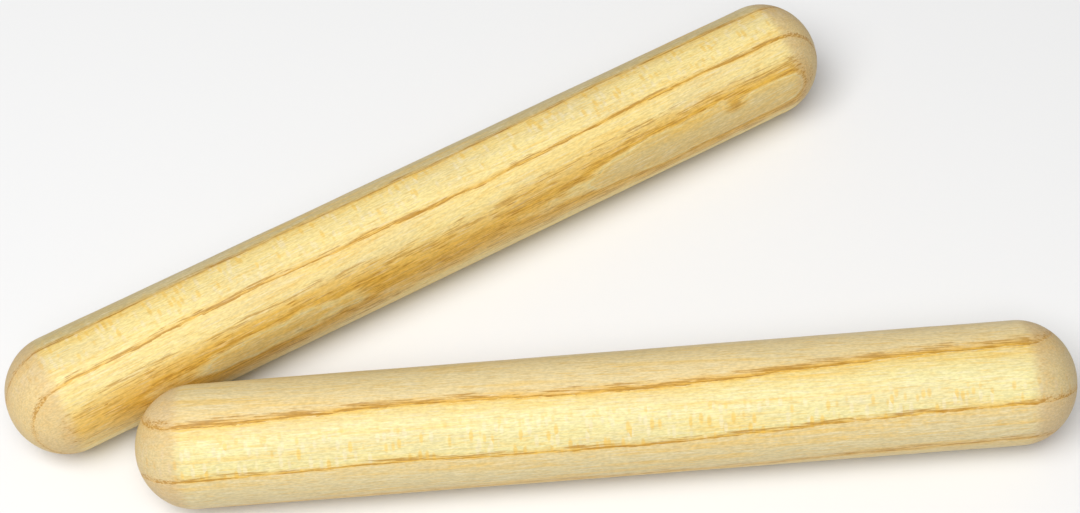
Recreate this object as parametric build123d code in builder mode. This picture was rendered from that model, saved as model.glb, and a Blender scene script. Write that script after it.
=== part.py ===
from build123d import *
from math import cos, radians, sin, sqrt
import os

# A pair of claves: two solid turned hardwood sticks with domed ends.
#
# Millimetres. +Z is up, the sticks lie on the plane Z = 0, and +X runs along the
# striking clave. The origin is on that plane, under the middle of the pair.

# Driving dimensions
DIAMETER = 25.0  # both sticks are turned from the same stock
STRIKING_LENGTH = 188.0
HELD_LENGTH = 192.0
DOME_DEPTH = 11.8  # axial depth of an end, a little under the radius
OPENING_ANGLE = 26.5  # degrees between the two sticks where they lie
SIDE_GAP = 1.0  # clearance between the sticks at their nearest point
HELD_OFFSET = 66.7  # along the held clave, from its nearest point to its middle

RADIUS = DIAMETER / 2


def barrel_length(length):
    """The straight cylindrical run between the two domes."""
    return length - 2 * DOME_DEPTH


def clave(length, centre, turn):
    """One stick in one solid: a half profile, mirrored end for end and revolved.

    The axis runs along the local X, centre is the middle of the axis, and turn
    is the angle in degrees from +X.
    """
    shoulder = barrel_length(length) / 2
    lying = Plane(origin=centre, x_dir=(cos(radians(turn)), sin(radians(turn)), 0))
    with BuildPart() as stick:
        with BuildSketch(lying):
            with BuildLine():
                Polyline((0, RADIUS), (0, 0), (length / 2, 0))
                EllipticalCenterArc((shoulder, 0), DOME_DEPTH, RADIUS, arc_size=90)
                Line((shoulder, RADIUS), (0, RADIUS))
            make_face()
            mirror(about=Plane.YZ)
        revolve(axis=Axis(lying.origin, lying.x_dir))
    return stick


def reach(length, turn, angle):
    """Half the extent of a stick along a direction at the given angle."""
    lean = radians(turn - angle)
    dome = sqrt((DOME_DEPTH * cos(lean)) ** 2 + (RADIUS * sin(lean)) ** 2)
    return barrel_length(length) / 2 * abs(cos(lean)) + dome


# Where the held clave lies, measured from the middle of the striking clave.
# The two come nearest at the striking clave's left shoulder.
lean = radians(OPENING_ANGLE)
nearest_x = -barrel_length(STRIKING_LENGTH) / 2
axis_distance = DIAMETER + SIDE_GAP
held_x = nearest_x - axis_distance * sin(lean) + HELD_OFFSET * cos(lean)
held_y = axis_distance * cos(lean) + HELD_OFFSET * sin(lean)

# The middle of the pair, from the outermost points of the two sticks.
held_reach_x = reach(HELD_LENGTH, OPENING_ANGLE, 0)
held_reach_y = reach(HELD_LENGTH, OPENING_ANGLE, 90)
low_x = min(-STRIKING_LENGTH / 2, held_x - held_reach_x)
high_x = max(STRIKING_LENGTH / 2, held_x + held_reach_x)
low_y = min(-RADIUS, held_y - held_reach_y)
high_y = max(RADIUS, held_y + held_reach_y)
middle_x = (low_x + high_x) / 2
middle_y = (low_y + high_y) / 2

striking_centre = (-middle_x, -middle_y, RADIUS)
held_centre = (held_x - middle_x, held_y - middle_y, RADIUS)

# The stick that is swung, lying along +X at the front.
striking_clave = clave(STRIKING_LENGTH, striking_centre, 0)
striking_clave.part.label = "striking_clave"

# The stick that rests in the cupped hand, lying across the table behind it.
held_clave = clave(HELD_LENGTH, held_centre, OPENING_ANGLE)
held_clave.part.label = "held_clave"

os.makedirs("parts", exist_ok=True)
for stick in (striking_clave, held_clave):
    export_step(stick.part, "parts/" + stick.part.label + ".step")

print("striking_clave centre", [round(value, 4) for value in striking_centre])
print("held_clave centre", [round(value, 4) for value in held_centre])
print("barrels", barrel_length(STRIKING_LENGTH), barrel_length(HELD_LENGTH))
print("box", round(high_x - low_x, 3), round(high_y - low_y, 3), DIAMETER)
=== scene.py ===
import bpy
import math
import numpy as np
from mathutils import Euler, Matrix, Vector


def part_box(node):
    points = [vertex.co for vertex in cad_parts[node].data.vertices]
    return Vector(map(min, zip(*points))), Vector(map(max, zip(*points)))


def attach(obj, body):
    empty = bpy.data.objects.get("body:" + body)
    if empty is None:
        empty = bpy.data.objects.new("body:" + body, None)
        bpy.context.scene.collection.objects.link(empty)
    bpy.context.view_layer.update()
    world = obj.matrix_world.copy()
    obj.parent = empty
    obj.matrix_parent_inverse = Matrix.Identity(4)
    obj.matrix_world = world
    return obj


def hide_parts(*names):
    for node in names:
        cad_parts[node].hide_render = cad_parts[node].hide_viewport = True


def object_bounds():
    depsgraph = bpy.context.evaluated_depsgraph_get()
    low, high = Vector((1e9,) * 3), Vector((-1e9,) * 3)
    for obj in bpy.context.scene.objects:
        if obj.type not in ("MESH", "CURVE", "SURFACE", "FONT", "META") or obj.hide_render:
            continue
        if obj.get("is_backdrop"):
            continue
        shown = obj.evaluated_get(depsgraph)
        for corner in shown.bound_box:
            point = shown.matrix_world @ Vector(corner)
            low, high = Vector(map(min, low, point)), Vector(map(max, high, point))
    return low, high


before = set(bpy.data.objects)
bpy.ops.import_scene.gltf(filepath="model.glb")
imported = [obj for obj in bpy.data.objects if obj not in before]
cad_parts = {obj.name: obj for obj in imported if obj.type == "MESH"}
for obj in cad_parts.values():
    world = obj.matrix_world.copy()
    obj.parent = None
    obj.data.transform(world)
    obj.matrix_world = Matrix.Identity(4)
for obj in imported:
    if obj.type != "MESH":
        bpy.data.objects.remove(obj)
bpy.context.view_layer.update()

# A pair of claves: two solid turned hardwood sticks with domed ends.
#
# Each stick is one turned mesh. Its wood is a solid field over the stick's own
# axes, in millimetres: axial, along the stick; across, away from the front; and
# up. Geometry nodes cut the relief from that field and shader nodes colour it,
# so dents, pores and colours belong together.

MM = 0.001

# Turned shape, in millimetres. The domes are half ellipsoids.
DOME_DEPTH = 11.8
AROUND = 384  # points around the barrel
BARREL_STEPS = 208
DOME_STEPS = 26
FEWEST_AROUND = 24  # the rings halve down to this near each pole
MIN_EDGE = 0.11  # a ring halves once its edges would be shorter than this

# How each stick was cut from its board. Distances are in millimetres and angles
# in degrees. bark is the way out to the bark, seen along the stick, from
# straight up towards the front. edges are where a year's growth starts, measured
# that way from the axis. lines is how strongly each one shows, spread how far out
# its open-grained wood goes, and glow how golden the wood is just inside it.
# tones names the wood's colour before, between and after the edges, and rays is
# how clearly the rays show there. tilt and bow lean and bend the rings along the
# stick, and wave gives their slow wander: how far, how long, and where its crest
# is. A knot has a place along the stick and an angle.
STICKS = {
    "striking_clave": {
        "turn": 0.0,
        "bark": -45.0,
        "edges": (-11.5, -3.35, 7.35),
        "lines": (0.8, 0.9, 1.1),
        "spread": (1.5, 1.5, 1.8),
        "glow": (0.6, 0.4, 1.0),
        "tones": ("beige", "beige", "cream", "tan"),
        "rays": (0.2, 0.3, 1.0, 0.3),
        "tilt": 1.4,
        "bow": 0.9,
        "wave": (0.4, 98.0, -38.0),
        "knots": (),
        "seed": 3.0,
    },
    "held_clave": {
        "turn": 26.5,
        "bark": -103.5,
        "edges": (-12.57, -7.55, 1.65, 9.4),
        "lines": (1.2, 0.9, 0.6, 0.8),
        "spread": (2.6, 1.3, 1.5, 1.4),
        "glow": (0.55, 0.4, 0.8, 0.6),
        "tones": ("honey", "straw", "straw", "olive", "olive"),
        "rays": (0.2, 0.4, 0.9, 0.4, 0.4),
        "tilt": 0.4,
        "bow": 0.0,
        "wave": (0.4, 100.0, -43.0),
        "knots": ((70.0, 66.0),),
        "seed": 11.0,
    },
}

# The growth rings, in millimetres.
PITH_DISTANCE = 90.0  # from a stick's axis to the pith that its rings curve about
FAR = 100.0  # further than any place in the wood
SLOW_STRAY = 1.1  # how far the rings stray in slow swells
QUICK_STRAY = 0.22  # and in quick shivers
TONE_BEFORE = 0.15  # the tone changes from this far before an edge
TONE_AFTER = 0.20  # to this far after it
EARLY_FROM = 0.3  # open-grained wood fades from this far past an edge

# Shares and slopes, without a unit.
FEATHERED = 0.5  # share of the open-grained wood in which the feathery strokes don't fade yet
KNOT_SQUASH = 0.6  # lengths along the stick are cut to this share, so a knot is longer that way
VESSEL_SLANT = 0.035  # how far the vessels run across the rings, for each unit along
EARLY_VESSELS = 0.35  # share of the vessels that are open in open-grained wood
ROW_VESSELS = 0.55  # share of them that its first row adds
FAINTEST_VESSEL = 0.3  # strength of the faintest vessel
FINE_VESSELS = 0.20  # share of the fine vessels that are open, anywhere
KNOT_STRANDS = 0.9  # density of the strands at the heart of a knot
RAYS_SHOWN = 0.9  # share of the rays that show
DARK_RAYS = 0.45  # share of the rays that are dark

# Size of each kind of grain, in millimetres along the stick, outwards and
# sideways, and what is added to the stick's seed for it.
GRAIN = {
    "slow": (14.0, 9.0, 9.0, 0),
    "quick": (3.5, 0.7, 0.7, 5),
    "patch": (9.0, 0.8, 1.4, 9),
    "jag": (1.8, 0.5, 0.5, 16),
    "vessel": (3.6, 0.42, 0.46, 2),
    "strand": (8.0, 0.25, 0.29, 14),
    "fine vessel": (4.5, 0.26, 0.30, 7),
    "fibre": (4.5, 0.34, 0.34, 1),
    "streak": (40.0, 1.8, 2.2, 4),
    "cloud": (26.0, 5.0, 7.0, 6),
    "mottle": (0.95, 0.33, 0.33, 12),
    "ray": (1.15, 3.6, 0.9, 3),
    "sanding": (14.0, 9.0, 9.0, 8),
}

# Smooth steps: from this value, to that value, and the result at each.
STEPS = {
    # by the distance from the heart of a knot, in millimetres
    "knot": (0.2, 2.2, 1.0, 0.0),
    "bend at a knot": (0.0, 3.5, 0.45, 0.0),
    # by how closely the face follows the rays, from 0 to 1
    "jag": (0.2, 0.8, 0.18, 0.5),
    "blur of an edge": (0.2, 0.8, 0.40, 0.07),
    "most feathering": (0.3, 0.8, 0.6, 1.1),
    "strands to a line": (0.3, 0.8, 0.11, 0.16),
    "strands on a face": (0.0, 0.9, 0.55, 1.0),
    "rays on a face": (0.86, 0.985, 0.0, 1.0),
    # by the distance from an edge, in millimetres
    "row": (0.2, 0.7, 1.0, 0.0),
    "last of late wood": (0.05, 0.5, 0.55, 0.0),
    "late wood": (0.4, 3.4, 0.45, 0.0),
    # by the distance past the barrel's end, in millimetres
    "end": (0.3, 3.5, 0.0, 1.0),
    # by how far the place is into the end grain
    "row at the end": (0.0, 1.0, 0.85, 0.35),
    # by patchy noise
    "vessels in a patch": (0.32, 0.62, 0.35, 1.15),
    "row in a patch": (0.34, 0.5, 0.45, 1.0),
    "feathers in a patch": (0.40, 0.58, 0.0, 1.0),
    # by the density of the strands
    "strands off a line": (0.0, 0.3, 0.22, 1.0),
    # by the distance from a cell's point, in cells
    "pore": (0.18, 0.50, 1.0, 0.0),
    "speck": (0.15, 0.45, 1.0, 0.0),
    "ray": (0.22, 0.5, 1.0, 0.0),
    # by noise, which a dense place raises for the strands
    "strand": (0.59, 0.67, 0.0, 1.0),
    "streak": (0.50, 0.72, 0.0, 1.0),
    "cloud": (0.40, 0.68, 0.0, 1.0),
    "dark fibre": (0.50, 0.75, 0.0, 1.0),
    "pale fibre": (0.48, 0.28, 0.0, 1.0),
    "sanding": (0.3, 0.7, 0.0, 1.0),
    "mottle": (0.28, 0.72, 0.89, 1.09),
    # by the knot itself
    "knot heart": (0.55, 1.0, 0.0, 1.0),
}

# Colours of the wood's parts, as linear light.
TONES = {
    "cream": (0.72, 0.64, 0.30, 1),
    "straw": (0.81, 0.66, 0.275, 1),
    "beige": (0.64, 0.53, 0.28, 1),
    "tan": (0.74, 0.59, 0.30, 1),
    "honey": (0.61, 0.50, 0.245, 1),
    "olive": (0.54, 0.43, 0.19, 1),
}
GOLD = (0.77, 0.475, 0.075, 1)
ORANGE = (0.69, 0.38, 0.03, 1)
BROWN = (0.40, 0.185, 0.010, 1)
WHITISH = (0.77, 0.68, 0.46, 1)
END_TAN = (0.56, 0.39, 0.20, 1)

# What colours the wood, one over the other: the field, its strength and its colour.
STAINS = (
    ("cloud", 0.40, TONES["beige"]),
    ("late", 0.85, GOLD),
    ("streak", 0.45, GOLD),
    ("early", 0.60, ORANGE),
    ("dark fibre", 0.40, ORANGE),
    ("pale fibre", 0.40, WHITISH),
    ("light ray", 0.45, WHITISH),
    ("dark ray", 0.60, GOLD),
    ("end", 0.60, END_TAN),
    ("knot", 0.55, ORANGE),
    ("knot heart", 0.40, BROWN),
    ("row", 0.65, ORANGE),
    ("strand", 0.72, BROWN),
    ("speck", 0.30, BROWN),
    ("pore", 0.85, BROWN),
)

# How deep each field is cut into the mesh, in millimetres. All of it goes inwards.
RELIEF = {"pore": 0.015, "early": 0.02, "fibre": 0.006, "sanding": 0.05}

# The lacquer: its lowest roughness, what each field adds to it, and how each field
# raises or lowers the bumps.
SMOOTHEST = 0.46
ROUGHNESS = {"fibre": 0.16, "pore": 0.2, "end": 0.15}
BUMPS = {"fibre": 0.5, "pore": -1.0, "strand": -0.8, "mottle": 0.5}
BUMP_STRENGTH = 0.35
BUMP_HEIGHT = 0.04  # millimetres
WOOD_IOR = 1.45
COAT_WEIGHT = 0.10
COAT_ROUGHNESS = 0.28

# The stage, in metres, watts and degrees. Azimuths go from the front to the right.
FLOOR_HALF = 2.5
FLOOR_STEPS = 24
FLOOR_COLOUR = (0.79, 0.79, 0.79, 1)
FLOOR_ROUGHNESS = 0.8
FLOOR_SPECULAR = 0.2
KEY_AZIMUTH = -25.0
KEY_ELEVATION = 63.0
KEY_DISTANCE = 1.2
KEY_SIZE = (1.1, 0.8)
KEY_POWER = 17.4
SKY_STRENGTH = 0.28
CAMERA_AZIMUTH = 1.53
CAMERA_ELEVATION = 52.41
CAMERA_DISTANCE = 0.5401
CAMERA_ROLL = -5.72
CAMERA_LENS = 83.44  # millimetres, on a 36 mm sensor
CAMERA_AIM = (2.67, 5.37, 0.0)  # millimetres from the middle of the pair


class Graph:
    """Small helpers that add nodes to a shader tree or a geometry tree."""

    def __init__(self, tree):
        self.tree = tree

    def node(self, kind, **settings):
        made = self.tree.nodes.new(kind)
        for key, value in settings.items():
            setattr(made, key, value)
        return made

    def link(self, source, socket):
        """Feed a socket from another socket or from a plain value."""
        if isinstance(source, bpy.types.NodeSocket):
            self.tree.links.new(source, socket)
        else:
            socket.default_value = source

    def math(self, operation, *values, clamp=False):
        made = self.node("ShaderNodeMath", operation=operation, use_clamp=clamp)
        for socket, value in zip(made.inputs, values):
            self.link(value, socket)
        return made.outputs[0]

    def add(self, a, b):
        return self.math("ADD", a, b)

    def less(self, a, b):
        """The first value less the second."""
        return self.math("SUBTRACT", a, b)

    def mul(self, a, b):
        return self.math("MULTIPLY", a, b)

    def length(self, a, b):
        """The length of a vector from two parts at right angles."""
        return self.math("SQRT", self.add(self.mul(a, a), self.mul(b, b)))

    def weighted(self, fields, weights, base=0.0):
        """The base plus each named field times its weight."""
        total = base
        for name, weight in weights.items():
            total = self.add(total, self.mul(fields[name], weight))
        return total

    def ramp(self, value, low, high, start=0.0, end=1.0):
        """A smooth step from start to end as value goes from low to high."""
        made = self.node("ShaderNodeMapRange", interpolation_type="SMOOTHSTEP")
        for socket, entry in zip(made.inputs, (value, low, high, start, end)):
            self.link(entry, socket)
        return made.outputs[0]

    def step(self, value, name):
        """The named smooth step of a value."""
        return self.ramp(value, *STEPS[name])

    def vector(self, x, y, z):
        made = self.node("ShaderNodeCombineXYZ")
        for socket, value in zip(made.inputs, (x, y, z)):
            self.link(value, socket)
        return made.outputs[0]

    def split(self, source):
        made = self.node("ShaderNodeSeparateXYZ")
        self.link(source, made.inputs[0])
        return made.outputs

    def grains(self, place, grain, seed):
        """A texture's place in units of the named grain, from (axial, outward, sideways)."""
        *sizes, shift = GRAIN[grain]
        parts = []
        for n, (part, size) in enumerate(zip(place, sizes), start=1):
            parts.append(self.add(self.mul(part, 1 / size), (seed + shift) * n))
        return self.vector(*parts)

    def noise(self, place, grain, seed, detail=2.0):
        """Noise of the named grain, from 0 to 1 with a mean of about a half."""
        made = self.node("ShaderNodeTexNoise")
        self.link(self.grains(place, grain, seed), made.inputs["Vector"])
        made.inputs["Scale"].default_value = 1.0
        made.inputs["Detail"].default_value = detail
        return made.outputs[0]

    def cells(self, place, grain, seed):
        """Distance to the nearest of some scattered points, and two of its random numbers."""
        made = self.node("ShaderNodeTexVoronoi")
        self.link(self.grains(place, grain, seed), made.inputs["Vector"])
        made.inputs["Scale"].default_value = 1.0
        first, second, _ = self.split(made.outputs["Color"])
        return made.outputs["Distance"], first, second

    def blend(self, share, first, second, blend_type="MIX"):
        """One colour over another. A colour mix takes them at inputs 6 and 7."""
        made = self.node("ShaderNodeMix", data_type="RGBA", blend_type=blend_type)
        self.link(share, made.inputs[0])
        self.link(first, made.inputs[6])
        self.link(second, made.inputs[7])
        return made.outputs[2]


def stepped(g, passed, values):
    """The first value, changing to the next one at each edge that has been passed."""
    total = values[0]
    for flag, before, after in zip(passed, values, values[1:]):
        total = g.add(total, g.mul(flag, after - before))
    return total


def face_field(g, across, up, outward, sideways):
    """From 0 on a face that lies along the rings to 1 on a face that lies along the rays."""
    from_pith = g.add(outward, PITH_DISTANCE)
    lengths = g.mul(g.length(from_pith, sideways), g.math("MAXIMUM", g.length(across, up), 1.0))
    product = g.add(g.mul(outward, from_pith), g.mul(sideways, sideways))
    along_ring = g.math("DIVIDE", product, lengths)
    return g.math("SQRT", g.math("SUBTRACT", 1.0, g.mul(along_ring, along_ring), clamp=True))


def growth_field(g, place, stick, length):
    """Distance outwards to the bark, in millimetres from the axis, along curved rings."""
    axial, outward, sideways = place
    growth = g.less(g.length(g.add(outward, PITH_DISTANCE), sideways), PITH_DISTANCE)
    share = g.mul(axial, 2 / length)
    lean = g.add(g.mul(share, stick["tilt"]), g.mul(g.mul(share, share), stick["bow"]))
    height, period, crest = stick["wave"]
    phase = g.mul(g.less(axial, crest), 2 * math.pi / period)
    wander = g.mul(g.math("COSINE", phase), height)
    swells = g.add(g.noise(place, "slow", stick["seed"]), -0.5)
    shivers = g.add(g.noise(place, "quick", stick["seed"]), -0.5)
    stray = g.add(g.mul(swells, SLOW_STRAY), g.mul(shivers, QUICK_STRAY))
    return g.less(growth, g.add(g.add(lean, wander), stray))


def knot_field(g, axial, across, up, knots):
    """Distance from the nearest pin knot's heart, in millimetres that count less along the stick."""
    nearest = FAR
    for along, angle in knots:
        turn = math.radians(angle)
        beside = g.add(g.mul(across, math.cos(turn)), g.mul(up, math.sin(turn)))
        facing_out = g.add(g.mul(across, -math.sin(turn)), g.mul(up, math.cos(turn)))
        behind = g.mul(g.math("LESS_THAN", facing_out, 0.0), FAR)
        ahead = g.mul(g.less(axial, along), KNOT_SQUASH)
        nearest = g.math("MINIMUM", nearest, g.add(g.length(ahead, beside), behind))
    return nearest


def ring_fields(g, growth, face, stick):
    """The growth rings: the wood on both sides of each edge, and what the stick says of it."""
    edges = stick["edges"]
    passed = [g.math("GREATER_THAN", growth, edge) for edge in edges]
    past = g.less(growth, stepped(g, passed, (-FAR, *edges)))
    ahead = g.less(stepped(g, passed, (*edges, FAR)), growth)
    spread = stepped(g, passed, (1.0, *stick["spread"]))
    start = g.ramp(past, 0.0, g.step(face, "blur of an edge"))
    return {
        "line": stepped(g, passed, (0.0, *stick["lines"])),
        "glow": stepped(g, passed, (*stick["glow"], 0.0)),
        "rays": stepped(g, passed, stick["rays"]),
        "row": g.mul(start, g.step(past, "row")),
        "early": g.mul(start, g.ramp(past, EARLY_FROM, spread, 1.0, 0.0)),
        "feathery": g.mul(start, g.ramp(past, g.mul(spread, FEATHERED), spread, 1.0, 0.0)),
        "late": g.add(g.step(ahead, "last of late wood"), g.step(ahead, "late wood")),
    }


def pore_field(g, slanted, rings, patch, end, seed):
    """Open vessels, crowded in the early wood."""
    distance, odds, strength = g.cells(slanted, "vessel", seed)
    crowd = g.add(g.mul(rings["early"], EARLY_VESSELS), g.mul(rings["row"], ROW_VESSELS))
    crowd = g.mul(crowd, rings["line"])
    crowd = g.mul(crowd, g.math("MAXIMUM", end, g.step(patch, "vessels in a patch")))
    depth = g.add(g.mul(strength, 1 - FAINTEST_VESSEL), FAINTEST_VESSEL)
    return g.mul(g.step(distance, "pore"), g.mul(g.math("LESS_THAN", odds, crowd), depth))


def strand_field(g, slanted, rings, patch, face, knot, seed):
    """Fine dark strokes that gather into a line at each edge and feather out from it."""
    thread = g.noise(slanted, "strand", seed, detail=3.0)
    broken = g.mul(g.step(patch, "feathers in a patch"), g.step(face, "most feathering"))
    dense = g.mul(rings["row"], g.step(patch, "row in a patch"))
    dense = g.mul(g.add(dense, g.mul(rings["feathery"], broken)), rings["line"])
    dense = g.math("MINIMUM", g.add(dense, g.mul(knot, KNOT_STRANDS)), 1.0)
    gathered = g.mul(dense, g.step(face, "strands to a line"))
    strand = g.step(g.add(thread, gathered), "strand")
    strand = g.mul(strand, g.step(dense, "strands off a line"))
    return g.mul(strand, g.step(face, "strands on a face"))


def speck_field(g, slanted, seed):
    """Small vessels, scattered everywhere."""
    distance, odds, strength = g.cells(slanted, "fine vessel", seed)
    chosen = g.mul(g.math("LESS_THAN", odds, FINE_VESSELS), strength)
    return g.mul(g.step(distance, "speck"), chosen)


def ray_fields(g, place, growth, face, rings, seed):
    """Light and dark rays: thin plates that run outwards and show on faces that follow them."""
    axial, outward, sideways = place
    swing = g.math("ARCTAN2", sideways, g.add(outward, PITH_DISTANCE))
    around_pith = g.mul(swing, PITH_DISTANCE)
    distance, odds, kind = g.cells((axial, growth, around_pith), "ray", seed)
    ray = g.mul(g.step(distance, "ray"), g.step(face, "rays on a face"))
    ray = g.mul(ray, g.mul(g.math("LESS_THAN", odds, RAYS_SHOWN), rings["rays"]))
    light = g.mul(ray, g.math("GREATER_THAN", kind, DARK_RAYS))
    dark = g.mul(ray, g.math("LESS_THAN", kind, DARK_RAYS))
    return light, dark


def wood_fields(g, point, stick, length):
    """The solid wood of one stick, as fields at a point given in millimetres."""
    axial, across, up = g.split(point)
    bark = math.radians(stick["bark"])
    seed = stick["seed"]
    outward = g.add(g.mul(across, -math.sin(bark)), g.mul(up, math.cos(bark)))
    sideways = g.add(g.mul(across, math.cos(bark)), g.mul(up, math.sin(bark)))
    place = (axial, outward, sideways)
    slanted = (axial, outward, g.add(sideways, g.mul(axial, VESSEL_SLANT)))

    face = face_field(g, across, up, outward, sideways)
    knot_distance = knot_field(g, axial, across, up, stick["knots"])
    knot = g.step(knot_distance, "knot")
    beyond = g.less(g.math("ABSOLUTE", axial), length / 2 - DOME_DEPTH)
    end = g.step(beyond, "end")

    growth = growth_field(g, place, stick, length)
    growth = g.add(growth, g.step(knot_distance, "bend at a knot"))
    crossing = [g.ramp(growth, edge - TONE_BEFORE, edge + TONE_AFTER) for edge in stick["edges"]]
    jag = g.add(g.noise(place, "jag", seed), -0.5)
    growth = g.add(growth, g.mul(jag, g.step(face, "jag")))
    rings = ring_fields(g, growth, face, stick)

    patch = g.noise(slanted, "patch", seed)
    fibre = g.noise(slanted, "fibre", seed, detail=3.0)
    light_ray, dark_ray = ray_fields(g, place, growth, face, rings, seed)
    return {
        "crossing": crossing,
        "row": g.mul(g.mul(rings["row"], rings["line"]), g.step(end, "row at the end")),
        "early": g.mul(rings["early"], rings["line"]),
        "late": g.mul(rings["late"], rings["glow"]),
        "pore": pore_field(g, slanted, rings, patch, end, seed),
        "strand": strand_field(g, slanted, rings, patch, face, knot, seed),
        "speck": speck_field(g, slanted, seed),
        "fibre": fibre,
        "dark fibre": g.step(fibre, "dark fibre"),
        "pale fibre": g.step(fibre, "pale fibre"),
        "streak": g.step(g.noise(slanted, "streak", seed, detail=3.0), "streak"),
        "cloud": g.step(g.noise(place, "cloud", seed), "cloud"),
        "mottle": g.noise(slanted, "mottle", seed),
        "sanding": g.step(g.noise((axial, across, up), "sanding", seed, detail=1.0), "sanding"),
        "light ray": light_ray,
        "dark ray": dark_ray,
        "end": end,
        "knot": knot,
        "knot heart": g.step(knot, "knot heart"),
    }


def stick_size(node):
    """A stick's length and radius in millimetres, from its box and the way it is turned."""
    low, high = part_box(node)
    turn = math.radians(STICKS[node]["turn"])
    radius = (high.z - low.z) / MM / 2
    dome = math.hypot(DOME_DEPTH * math.cos(turn), radius * math.sin(turn))
    reach = (high.x - low.x) / MM / 2
    barrel = 2 * (reach - dome) / math.cos(turn)
    return barrel + 2 * DOME_DEPTH, radius


def profile(length, radius):
    """(axial place, radius, points around) of each ring, from the left pole to the right one."""
    shoulder = length / 2 - DOME_DEPTH
    left = []
    count = AROUND
    for step in range(DOME_STEPS, 0, -1):
        angle = step / DOME_STEPS * math.pi / 2
        ring = radius * math.sin(angle)
        while count > FEWEST_AROUND and 2 * math.pi * ring / count < MIN_EDGE:
            count //= 2
        left.append((-shoulder - DOME_DEPTH * math.cos(angle), ring, count))
    left.reverse()
    barrel = np.linspace(-shoulder, shoulder, BARREL_STEPS + 1)[1:-1]
    middle = [(place, radius, AROUND) for place in barrel]
    right = [(-place, ring, count) for place, ring, count in reversed(left)]
    return left + middle + right


def bridge(start_a, count_a, start_b, count_b):
    """Faces between two rings that have the same count, or one twice the other's."""
    faces = []
    if count_a == count_b:
        for k in range(count_a):
            n = (k + 1) % count_a
            faces.append((start_a + k, start_b + k, start_b + n, start_a + n))
        return faces
    if count_a < count_b:
        for k in range(count_a):
            a = start_a + k
            a_next = start_a + (k + 1) % count_a
            b = start_b + 2 * k
            mid = b + 1
            b_next = start_b + (2 * k + 2) % count_b
            faces += [(a, b, mid), (a, mid, a_next), (a_next, mid, b_next)]
        return faces
    return [tuple(reversed(face)) for face in bridge(start_b, count_b, start_a, count_a)]


def turned_mesh(name, length, radius):
    """A closed turned stick along X about the origin, in millimetres, mostly of quads."""
    rings = profile(length, radius)
    points = [(-length / 2, 0.0, 0.0)]
    starts = []
    for place, ring, count in rings:
        starts.append(len(points))
        for k in range(count):
            angle = 2 * math.pi * k / count
            points.append((place, ring * math.sin(angle), ring * math.cos(angle)))
    last = len(points)
    points.append((length / 2, 0.0, 0.0))
    counts = [count for _, _, count in rings]
    faces = []
    for start_a, count_a, start_b, count_b in zip(starts, counts, starts[1:], counts[1:]):
        faces += bridge(start_a, count_a, start_b, count_b)
    first_count = counts[0]
    last_count = counts[-1]
    faces += [(0, 1 + k, 1 + (k + 1) % first_count) for k in range(first_count)]
    faces += [(last, starts[-1] + (k + 1) % last_count, starts[-1] + k) for k in range(last_count)]
    mesh = bpy.data.meshes.new(name)
    mesh.from_pydata(points, [], faces)
    mesh.update()
    return mesh


def relief_tree(name, stick, length):
    """A geometry tree that cuts the grain's relief in and keeps where each point was."""
    tree = bpy.data.node_groups.new(name + "_relief", "GeometryNodeTree")
    tree.interface.new_socket("Geometry", in_out="INPUT", socket_type="NodeSocketGeometry")
    tree.interface.new_socket("Geometry", in_out="OUTPUT", socket_type="NodeSocketGeometry")
    g = Graph(tree)
    entry = g.node("NodeGroupInput")
    leave = g.node("NodeGroupOutput")
    place = g.node("GeometryNodeInputPosition").outputs[0]
    normal = g.node("GeometryNodeInputNormal").outputs[0]
    depth = g.weighted(wood_fields(g, place, stick, length), RELIEF)
    cut = g.node("ShaderNodeVectorMath", operation="SCALE")
    g.link(normal, cut.inputs[0])
    g.link(g.mul(depth, -1.0), cut.inputs["Scale"])
    keep = g.node("GeometryNodeStoreNamedAttribute", data_type="FLOAT_VECTOR", domain="POINT")
    keep.inputs["Name"].default_value = "stick"
    g.link(entry.outputs[0], keep.inputs["Geometry"])
    g.link(place, keep.inputs["Value"])
    move = g.node("GeometryNodeSetPosition")
    g.link(keep.outputs[0], move.inputs["Geometry"])
    g.link(cut.outputs[0], move.inputs["Offset"])
    g.link(move.outputs[0], leave.inputs[0])
    return tree


def wood_material(name, stick, length):
    """Pale lacquered wood, coloured from the same solid field that the relief is cut from."""
    material = bpy.data.materials.new(name + "_wood")
    material.use_nodes = True
    tree = material.node_tree
    tree.nodes.clear()
    g = Graph(tree)
    place = g.node("ShaderNodeAttribute", attribute_name="stick").outputs["Vector"]
    fields = wood_fields(g, place, stick, length)

    first_tone, *later_tones = stick["tones"]
    colour = TONES[first_tone]
    for share, tone in zip(fields["crossing"], later_tones):
        colour = g.blend(share, colour, TONES[tone])
    for field, strength, stain in STAINS:
        colour = g.blend(g.mul(fields[field], strength), colour, stain)
    mottle = g.step(fields["mottle"], "mottle")
    colour = g.blend(1.0, colour, g.vector(mottle, mottle, mottle), "MULTIPLY")

    shader = g.node("ShaderNodeBsdfPrincipled")
    g.link(colour, shader.inputs["Base Color"])
    g.link(g.weighted(fields, ROUGHNESS, SMOOTHEST), shader.inputs["Roughness"])
    shader.inputs["IOR"].default_value = WOOD_IOR
    shader.inputs["Coat Weight"].default_value = COAT_WEIGHT
    shader.inputs["Coat Roughness"].default_value = COAT_ROUGHNESS
    bump = g.node("ShaderNodeBump")
    bump.inputs["Strength"].default_value = BUMP_STRENGTH
    bump.inputs["Distance"].default_value = BUMP_HEIGHT * MM
    g.link(g.weighted(fields, BUMPS), bump.inputs["Height"])
    g.link(bump.outputs[0], shader.inputs["Normal"])
    out = g.node("ShaderNodeOutputMaterial")
    g.link(shader.outputs[0], out.inputs["Surface"])
    return material


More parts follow.
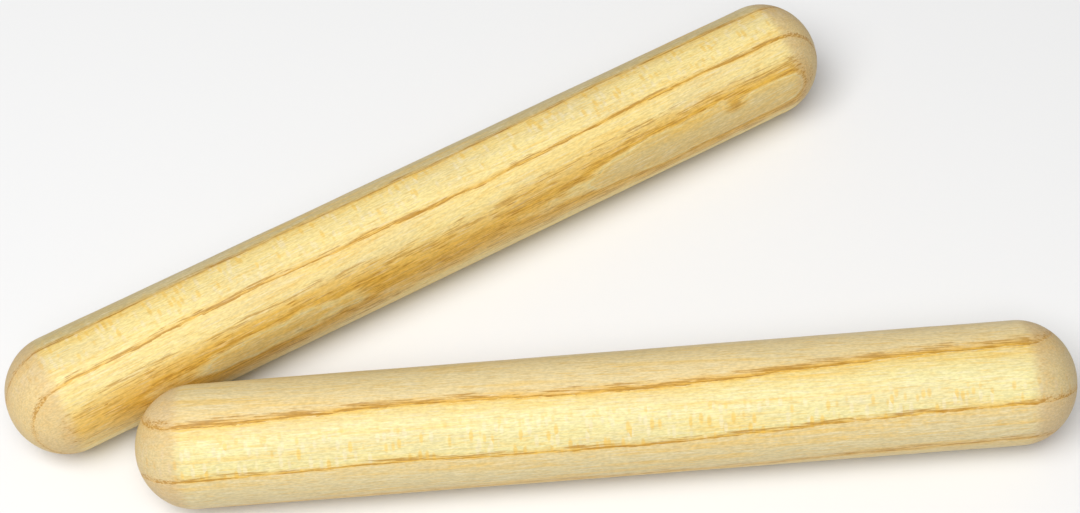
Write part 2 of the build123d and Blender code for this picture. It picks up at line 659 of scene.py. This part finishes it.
def make_clave(node):
    """The finished stick, standing in for its CAD node."""
    stick = STICKS[node]
    length, radius = stick_size(node)
    low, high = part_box(node)
    blank = bpy.data.objects.new(node + "_blank", turned_mesh(node + "_blank", length, radius))
    bpy.context.scene.collection.objects.link(blank)
    relief = blank.modifiers.new("relief", "NODES")
    relief.node_group = relief_tree(node, stick, length)
    bpy.context.view_layer.update()
    depsgraph = bpy.context.evaluated_depsgraph_get()
    mesh = bpy.data.meshes.new_from_object(blank.evaluated_get(depsgraph))
    mesh.name = node + "_turned"
    bpy.data.objects.remove(blank)
    centre = (low + high) / 2
    turn = Euler((0, 0, math.radians(stick["turn"]))).to_matrix().to_4x4()
    mesh.transform(Matrix.Translation(centre) @ turn @ Matrix.Scale(MM, 4))
    mesh.polygons.foreach_set("use_smooth", [True] * len(mesh.polygons))
    mesh.materials.clear()
    mesh.materials.append(wood_material(node, stick, length))
    piece = bpy.data.objects.new(node + "_turned", mesh)
    bpy.context.scene.collection.objects.link(piece)
    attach(piece, node)
    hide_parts(node)


def make_floor():
    """A wide, plain, pale sheet that the sticks lie on."""
    side = np.linspace(-FLOOR_HALF, FLOOR_HALF, FLOOR_STEPS + 1)
    points = [(x, y, 0.0) for y in side for x in side]
    row = FLOOR_STEPS + 1
    faces = []
    for j in range(FLOOR_STEPS):
        for i in range(FLOOR_STEPS):
            a = j * row + i
            faces.append((a, a + 1, a + row + 1, a + row))
    mesh = bpy.data.meshes.new("floor")
    mesh.from_pydata(points, [], faces)
    material = bpy.data.materials.new("pale_floor")
    material.use_nodes = True
    shader = material.node_tree.nodes["Principled BSDF"]
    shader.inputs["Base Color"].default_value = FLOOR_COLOUR
    shader.inputs["Roughness"].default_value = FLOOR_ROUGHNESS
    shader.inputs["Specular IOR Level"].default_value = FLOOR_SPECULAR
    mesh.materials.append(material)
    floor = bpy.data.objects.new("floor", mesh)
    bpy.context.scene.collection.objects.link(floor)
    floor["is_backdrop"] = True


def facing(place, target, roll=0.0):
    """A matrix at place that looks down its own -Z at target, turned by roll degrees."""
    back = (place - target).normalized()
    right = Vector((-back.y, back.x, 0)).normalized()
    up = back.cross(right)
    turn = Matrix.Rotation(math.radians(roll), 4, "Z")
    basis = Matrix((right, up, back)).transposed().to_4x4()
    return Matrix.Translation(place) @ basis @ turn


def around(azimuth, elevation):
    """The direction out to a viewer who stands at azimuth, from -Y, and elevation."""
    a = math.radians(azimuth)
    e = math.radians(elevation)
    return Vector((math.sin(a) * math.cos(e), -math.cos(a) * math.cos(e), math.sin(e)))


def make_camera():
    """The photograph's view, from the front and above."""
    low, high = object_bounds()
    middle = Vector(((low[0] + high[0]) / 2, (low[1] + high[1]) / 2, 0))
    aim = middle + Vector(CAMERA_AIM) * MM
    place = aim + around(CAMERA_AZIMUTH, CAMERA_ELEVATION) * CAMERA_DISTANCE
    data = bpy.data.cameras.new("camera")
    data.sensor_width = 36.0
    data.lens = CAMERA_LENS
    data.clip_start = 0.01
    camera = bpy.data.objects.new("camera", data)
    bpy.context.scene.collection.objects.link(camera)
    camera.matrix_world = facing(place, aim, CAMERA_ROLL)
    bpy.context.scene.camera = camera


def make_key_light():
    """A large soft box above the front left, aimed at the middle of the floor."""
    data = bpy.data.lights.new("key", "AREA")
    data.shape = "RECTANGLE"
    data.size, data.size_y = KEY_SIZE
    data.energy = KEY_POWER
    light = bpy.data.objects.new("key", data)
    bpy.context.scene.collection.objects.link(light)
    place = around(KEY_AZIMUTH, KEY_ELEVATION) * KEY_DISTANCE
    light.matrix_world = facing(place, Vector((0, 0, 0)))


def make_world():
    """Even white light from all round."""
    world = bpy.data.worlds.new("studio")
    world.use_nodes = True
    back = world.node_tree.nodes["Background"]
    back.inputs["Color"].default_value = (1.0, 1.0, 1.0, 1)
    back.inputs["Strength"].default_value = SKY_STRENGTH
    bpy.context.scene.world = world


make_floor()
for node in STICKS:
    make_clave(node)
make_camera()
make_key_light()
make_world()
bpy.context.scene.view_settings.view_transform = "Standard"
